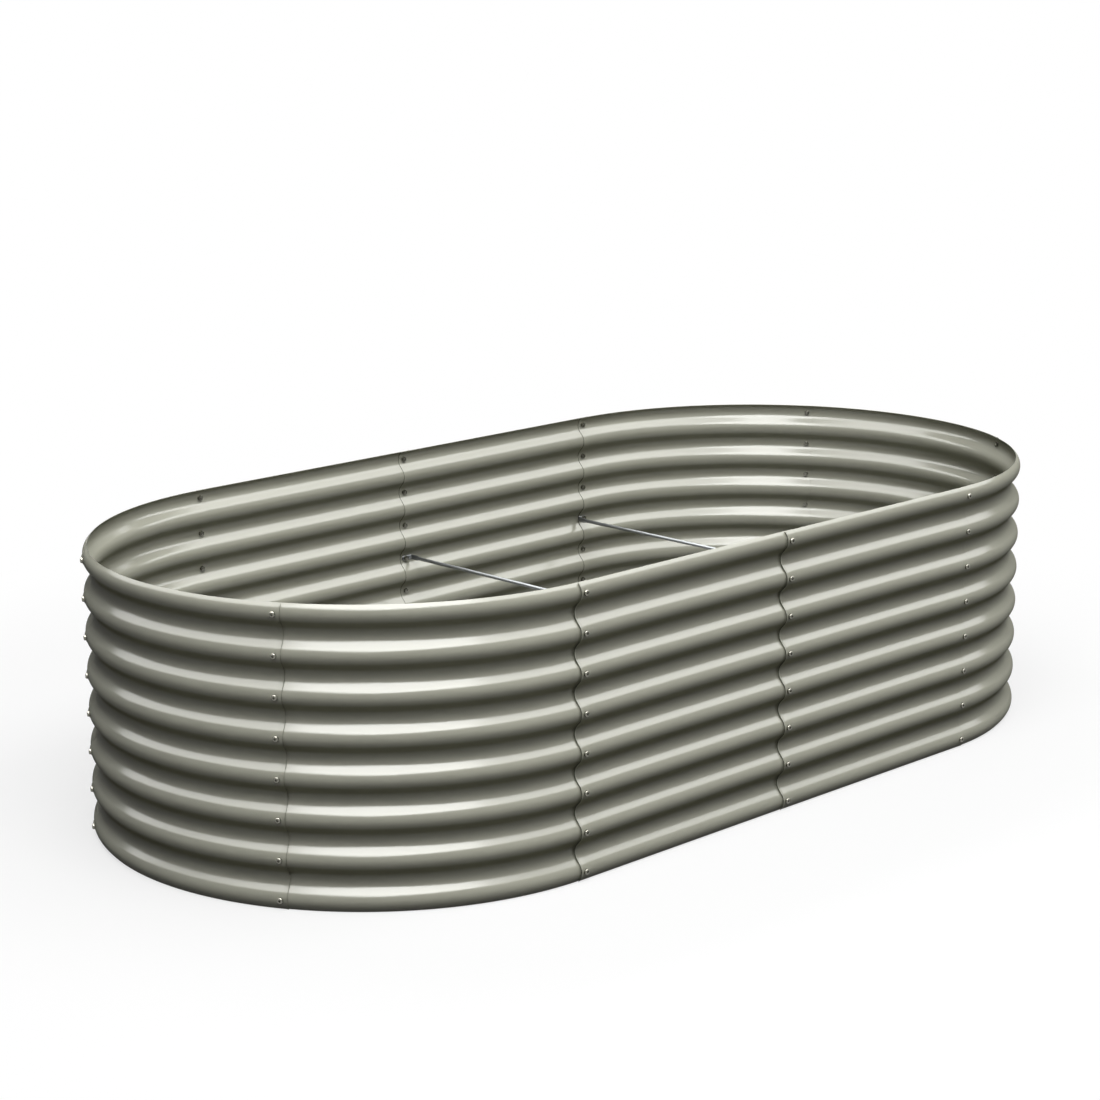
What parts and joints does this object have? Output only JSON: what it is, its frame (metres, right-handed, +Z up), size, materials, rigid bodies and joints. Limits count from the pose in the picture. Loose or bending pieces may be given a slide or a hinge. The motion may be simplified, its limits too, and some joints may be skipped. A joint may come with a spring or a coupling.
{
  "type": "raised garden bed",
  "caption": "Oval raised garden bed of bolted corrugated steel panels with tie rods across the inside, open at the top and the bottom.",
  "frame": {"origin": "centre of the bed's footprint, on the ground under its lower edge", "axes": "+X along the bed's long axis, +Y across it towards the back wall, +Z up"},
  "size_m": [2.4, 1.2096, 0.6],
  "materials": {
    "coated_sheet": "semi-gloss olive-grey colour coat on zinc-coated steel sheet",
    "zinc_fasteners": "bright zinc plate",
    "tie_rod_steel": "drawn and zinc-plated bar"
  },
  "bodies": {
    "root": {"back_panel_1": "coated_sheet", "back_panel_2": "coated_sheet", "front_panel_1": "coated_sheet", "front_panel_2": "coated_sheet", "left_end_panel_1": "coated_sheet", "left_end_panel_2": "coated_sheet", "left_end_panel_3": "coated_sheet", "right_end_panel_1": "coated_sheet", "right_end_panel_2": "coated_sheet", "right_end_panel_3": "coated_sheet", "seam_10_bolt_1": "zinc_fasteners", "seam_10_bolt_3": "zinc_fasteners", "seam_10_bolt_5": "zinc_fasteners", "seam_10_bolt_7": "zinc_fasteners", "seam_1_bolt_1": "zinc_fasteners", "seam_1_bolt_3": "zinc_fasteners", "seam_1_bolt_5": "zinc_fasteners", "seam_1_bolt_7": "zinc_fasteners", "seam_2_bolt_1": "zinc_fasteners", "seam_2_bolt_3": "zinc_fasteners", "seam_2_bolt_5": "zinc_fasteners", "seam_2_bolt_7": "zinc_fasteners", "seam_3_bolt_1": "zinc_fasteners", "seam_3_bolt_3": "zinc_fasteners", "seam_3_bolt_5": "zinc_fasteners", "seam_3_bolt_7": "zinc_fasteners", "seam_4_bolt_1": "zinc_fasteners", "seam_4_bolt_3": "zinc_fasteners", "seam_4_bolt_5": "zinc_fasteners", "seam_4_bolt_7": "zinc_fasteners", "seam_5_bolt_1": "zinc_fasteners", "seam_5_bolt_3": "zinc_fasteners", "seam_5_bolt_5": "zinc_fasteners", "seam_5_bolt_7": "zinc_fasteners", "seam_6_bolt_1": "zinc_fasteners", "seam_6_bolt_3": "zinc_fasteners", "seam_6_bolt_5": "zinc_fasteners", "seam_6_bolt_7": "zinc_fasteners", "seam_7_bolt_1": "zinc_fasteners", "seam_7_bolt_3": "zinc_fasteners", "seam_7_bolt_5": "zinc_fasteners", "seam_7_bolt_7": "zinc_fasteners", "seam_8_bolt_1": "zinc_fasteners", "seam_8_bolt_3": "zinc_fasteners", "seam_8_bolt_5": "zinc_fasteners", "seam_8_bolt_7": "zinc_fasteners", "seam_9_bolt_1": "zinc_fasteners", "seam_9_bolt_3": "zinc_fasteners", "seam_9_bolt_5": "zinc_fasteners", "seam_9_bolt_7": "zinc_fasteners", "tie_rod_1": "tie_rod_steel", "tie_rod_2": "tie_rod_steel", "tie_rod_3": "tie_rod_steel"}
  },
  "joints": []
}
